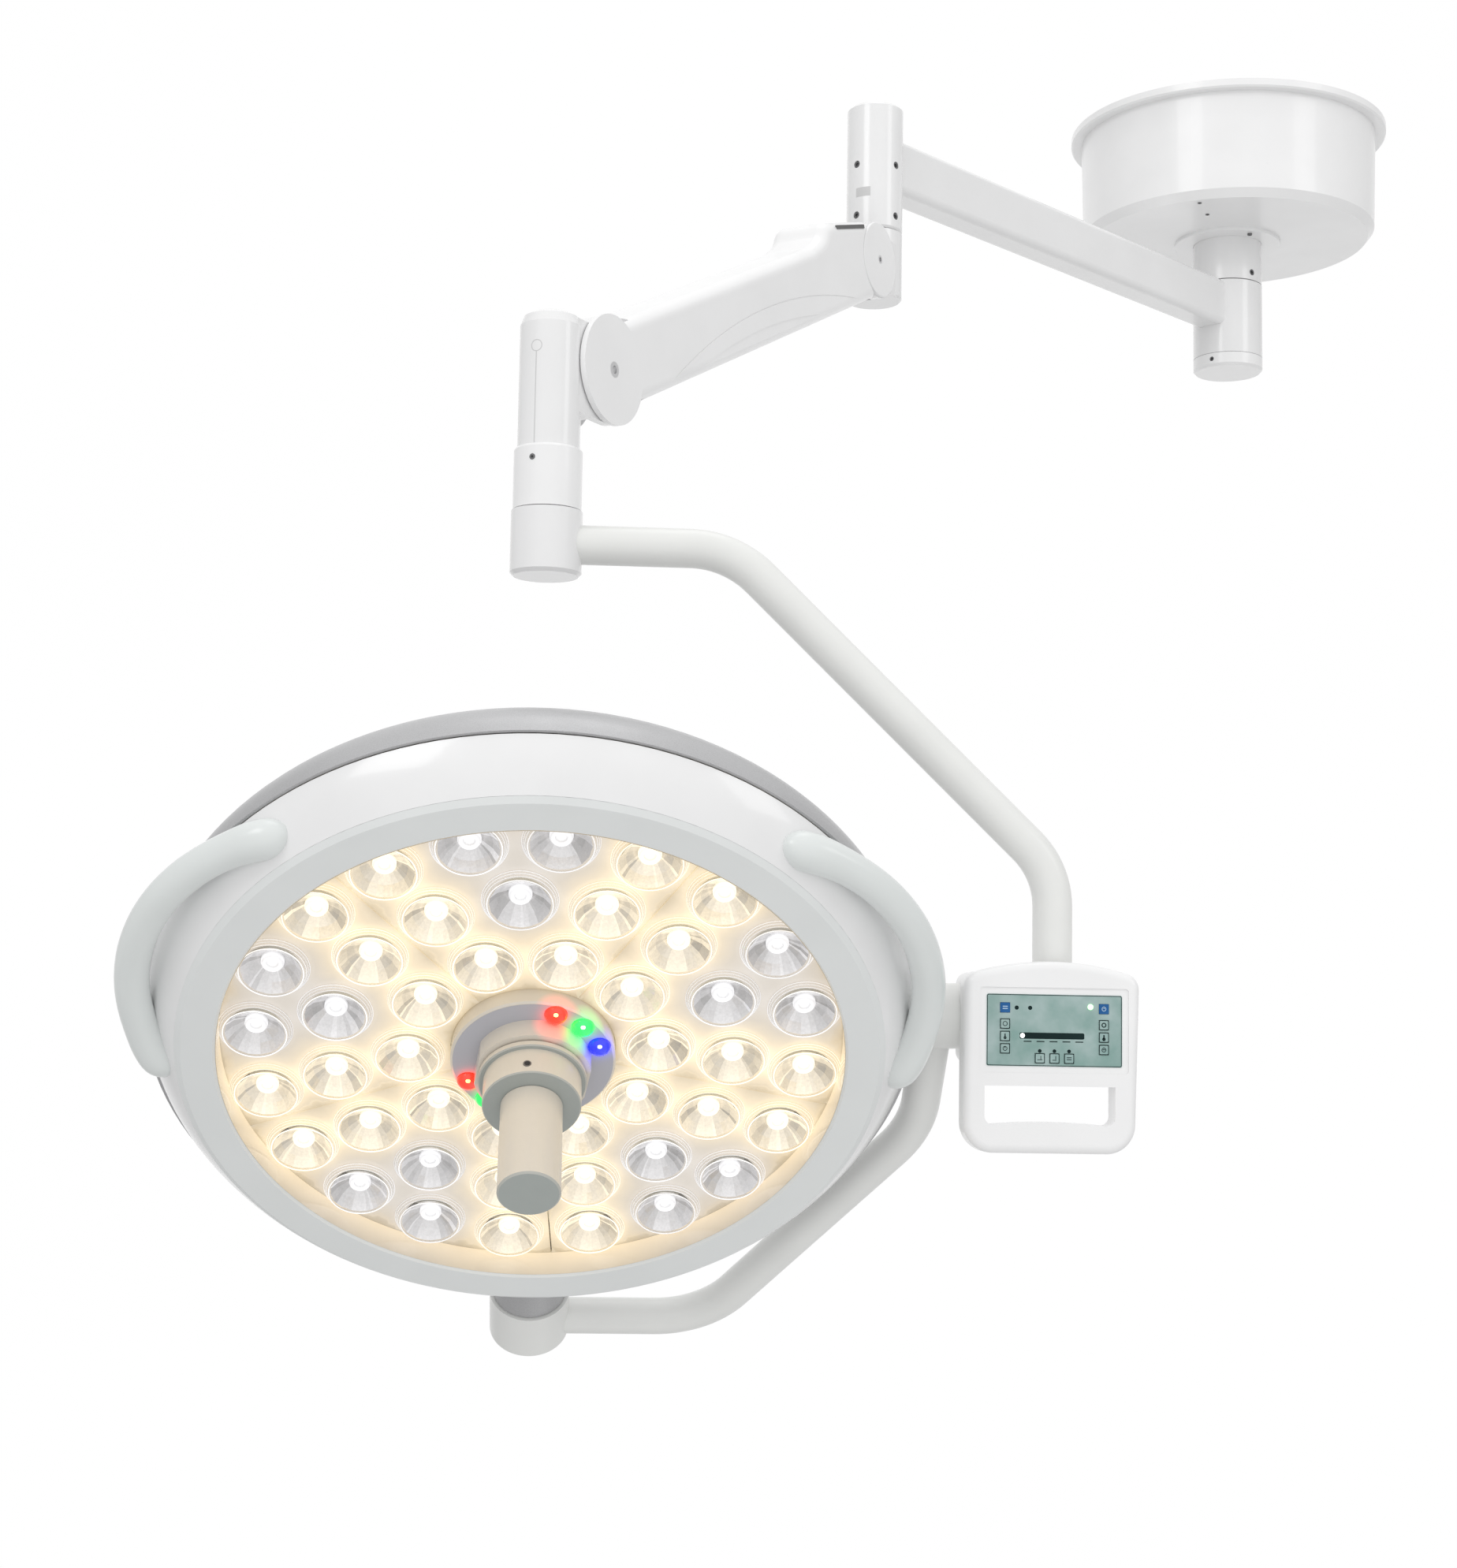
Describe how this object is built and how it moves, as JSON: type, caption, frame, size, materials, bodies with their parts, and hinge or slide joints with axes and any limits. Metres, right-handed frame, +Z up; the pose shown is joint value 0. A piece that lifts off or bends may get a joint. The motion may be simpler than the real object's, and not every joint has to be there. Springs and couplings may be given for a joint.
{
  "type": "surgical light",
  "caption": "Ceiling-mounted LED surgical light: canopy, extension arm, spring arm, two-axis yoke with control panel, round lamp head with sterile handle.",
  "frame": {"origin": "centre of the ceiling plate's top face, on the ceiling swing axis", "axes": "+Z up; the upper yoke lies in a plane parallel to XZ, and the control panel faces -Y"},
  "size_m": [1.3934, 1.4548, 1.4621],
  "materials": {
    "steel_plate": "zinc plated",
    "white_paint": "gloss white powder coat",
    "yoke_paint": "satin off-white powder coat",
    "white_plastic": "gloss",
    "machined_steel": "machined",
    "screw_steel": "blackened",
    "supply_case": "mill finish",
    "cover_grey": "satin grey metallic",
    "bevel_grey": "satin pale grey",
    "module_cream": "moulded",
    "lens_clear": "polished acrylic",
    "board_green": "white solder mask",
    "sink_aluminium": "mill finish",
    "centre_cream": "satin",
    "rgb_lens": "gloss",
    "grip_beige": "satin",
    "handle_white": "satin",
    "overlay_teal": "printed film",
    "key_grey": "printed film",
    "key_blue": "printed film"
  },
  "bodies": {
    "ceiling": {"ceiling_plate": "steel_plate", "suspension_tube": "white_paint", "canopy_left": "white_plastic", "canopy_right": "white_plastic", "canopy_rim": "white_plastic", "canopy_collar": "white_plastic", "ceiling_screws": "screw_steel", "power_supply": "supply_case"},
    "extension": {"extension_hub": "white_paint", "hub_cap": "white_plastic", "extension_beam": "white_paint", "end_tube": "white_paint", "brake_screws": "screw_steel", "arm_bearings": "machined_steel"},
    "knuckle": {"upper_knuckle": "white_paint", "knuckle_covers": "white_plastic", "upper_pivot_pin": "machined_steel"},
    "spring_arm": {"arm_shell_left": "white_plastic", "arm_shell_right": "white_plastic", "arm_core": "machined_steel", "arm_spring": "machined_steel", "lower_pivot_pin": "machined_steel"},
    "link": {"parallel_link": "machined_steel"},
    "drop": {"drop_knuckle": "white_paint", "lock_sleeve": "white_plastic"},
    "yoke": {"yoke_collar": "white_paint", "upper_yoke_tube": "yoke_paint", "tilt_housing": "yoke_paint", "panel_front": "white_plastic", "panel_rear": "white_plastic", "panel_board": "board_green", "panel_overlay": "overlay_teal"},
    "lower_yoke": {"tilt_hub": "yoke_paint", "lower_yoke_tube": "yoke_paint", "bottom_hub": "yoke_paint"},
    "head": {"rear_cover": "cover_grey", "front_housing": "white_plastic", "bevel_ring": "bevel_grey", "head_trunnion": "cover_grey", "heat_sink": "sink_aluminium", "lens_modules": "module_cream", "lamp_boards": "board_green", "lenses": "lens_clear", "centre_housing": "centre_cream", "rgb_lenses": "rgb_lens", "side_handle_left": "handle_white", "side_handle_right": "handle_white"},
    "focus": {"focus_collar": "grip_beige"},
    "grip": {"sterile_handle": "grip_beige"},
    "key_left_1_body": {"key_left_1": "key_grey"},
    "key_left_2_body": {"key_left_2": "key_grey"},
    "key_left_3_body": {"key_left_3": "key_grey"},
    "key_right_1_body": {"key_right_1": "key_grey"},
    "key_right_2_body": {"key_right_2": "key_grey"},
    "key_right_3_body": {"key_right_3": "key_grey"},
    "key_bottom_1_body": {"key_bottom_1": "key_grey"},
    "key_bottom_2_body": {"key_bottom_2": "key_grey"},
    "key_bottom_3_body": {"key_bottom_3": "key_grey"},
    "key_blue_left_body": {"key_blue_left": "key_blue"},
    "key_blue_right_body": {"key_blue_right": "key_blue"}
  },
  "joints": [
    {"name": "ceiling_swing", "type": "hinge", "parent": "ceiling", "child": "extension", "pos_m": [0, 0, -0.25], "axis": [0, 0, 1], "range_deg": [-170, 170]},
    {"name": "arm_swing", "type": "hinge", "parent": "extension", "child": "knuckle", "pos_m": [-0.51757, -0.47426, -0.24], "axis": [0, 0, 1], "range_deg": [-150, 120]},
    {"name": "arm_tilt", "type": "hinge", "parent": "knuckle", "child": "spring_arm", "pos_m": [-0.54551, -0.51812, -0.355], "axis": [-0.8434, 0.5373, 0], "range_deg": [-24.6, 45.4]},
    {"name": "link_tilt", "type": "hinge", "parent": "knuckle", "child": "link", "pos_m": [-0.54551, -0.51812, -0.377], "axis": [-0.8434, 0.5373, 0], "range_deg": [-24.6, 45.4]},
    {"name": "drop_level", "type": "hinge", "parent": "spring_arm", "child": "drop", "pos_m": [-0.83028, -0.96512, -0.607], "axis": [-0.8434, 0.5373, 0], "range_deg": [-45.4, 24.6]},
    {"name": "yoke_swing", "type": "hinge", "parent": "drop", "child": "yoke", "pos_m": [-0.85768, -1.00813, -0.7375], "axis": [0, 0, 1], "range_deg": [-170, 170]},
    {"name": "yoke_tilt", "type": "hinge", "parent": "yoke", "child": "lower_yoke", "pos_m": [-0.85768, -1.00813, -1.151], "axis": [1, 0, 0], "range_deg": [-110, 100]},
    {"name": "head_turn", "type": "hinge", "parent": "lower_yoke", "child": "head", "pos_m": [-0.85768, -1.00813, -1.151], "axis": [0, 0.7071, -0.7071], "range_deg": [0, 140]},
    {"name": "focus_turn", "type": "hinge", "parent": "head", "child": "focus", "pos_m": [-0.85768, -1.07531, -1.21818], "axis": [0, -0.7071, -0.7071], "range_deg": [-60, 60]},
    {"name": "handle_release", "type": "slide", "parent": "focus", "child": "grip", "axis": [0, -0.7071, -0.7071], "range_m": [0, 0.045]},
    {"name": "key_left_1_press", "type": "slide", "parent": "yoke", "child": "key_left_1_body", "axis": [0, 1, 0], "range_m": [0, 0.0004], "stiffness_N_per_m": 1500},
    {"name": "key_left_2_press", "type": "slide", "parent": "yoke", "child": "key_left_2_body", "axis": [0, 1, 0], "range_m": [0, 0.0004], "stiffness_N_per_m": 1500},
    {"name": "key_left_3_press", "type": "slide", "parent": "yoke", "child": "key_left_3_body", "axis": [0, 1, 0], "range_m": [0, 0.0004], "stiffness_N_per_m": 1500},
    {"name": "key_right_1_press", "type": "slide", "parent": "yoke", "child": "key_right_1_body", "axis": [0, 1, 0], "range_m": [0, 0.0004], "stiffness_N_per_m": 1500},
    {"name": "key_right_2_press", "type": "slide", "parent": "yoke", "child": "key_right_2_body", "axis": [0, 1, 0], "range_m": [0, 0.0004], "stiffness_N_per_m": 1500},
    {"name": "key_right_3_press", "type": "slide", "parent": "yoke", "child": "key_right_3_body", "axis": [0, 1, 0], "range_m": [0, 0.0004], "stiffness_N_per_m": 1500},
    {"name": "key_bottom_1_press", "type": "slide", "parent": "yoke", "child": "key_bottom_1_body", "axis": [0, 1, 0], "range_m": [0, 0.0004], "stiffness_N_per_m": 1500},
    {"name": "key_bottom_2_press", "type": "slide", "parent": "yoke", "child": "key_bottom_2_body", "axis": [0, 1, 0], "range_m": [0, 0.0004], "stiffness_N_per_m": 1500},
    {"name": "key_bottom_3_press", "type": "slide", "parent": "yoke", "child": "key_bottom_3_body", "axis": [0, 1, 0], "range_m": [0, 0.0004], "stiffness_N_per_m": 1500},
    {"name": "key_blue_left_press", "type": "slide", "parent": "yoke", "child": "key_blue_left_body", "axis": [0, 1, 0], "range_m": [0, 0.0004], "stiffness_N_per_m": 1500},
    {"name": "key_blue_right_press", "type": "slide", "parent": "yoke", "child": "key_blue_right_body", "axis": [0, 1, 0], "range_m": [0, 0.0004], "stiffness_N_per_m": 1500}
  ],
  "couplings": [
    {"joint": "link_tilt", "follows": "arm_tilt", "ratio": 1},
    {"joint": "drop_level", "follows": "arm_tilt", "ratio": -1}
  ]
}
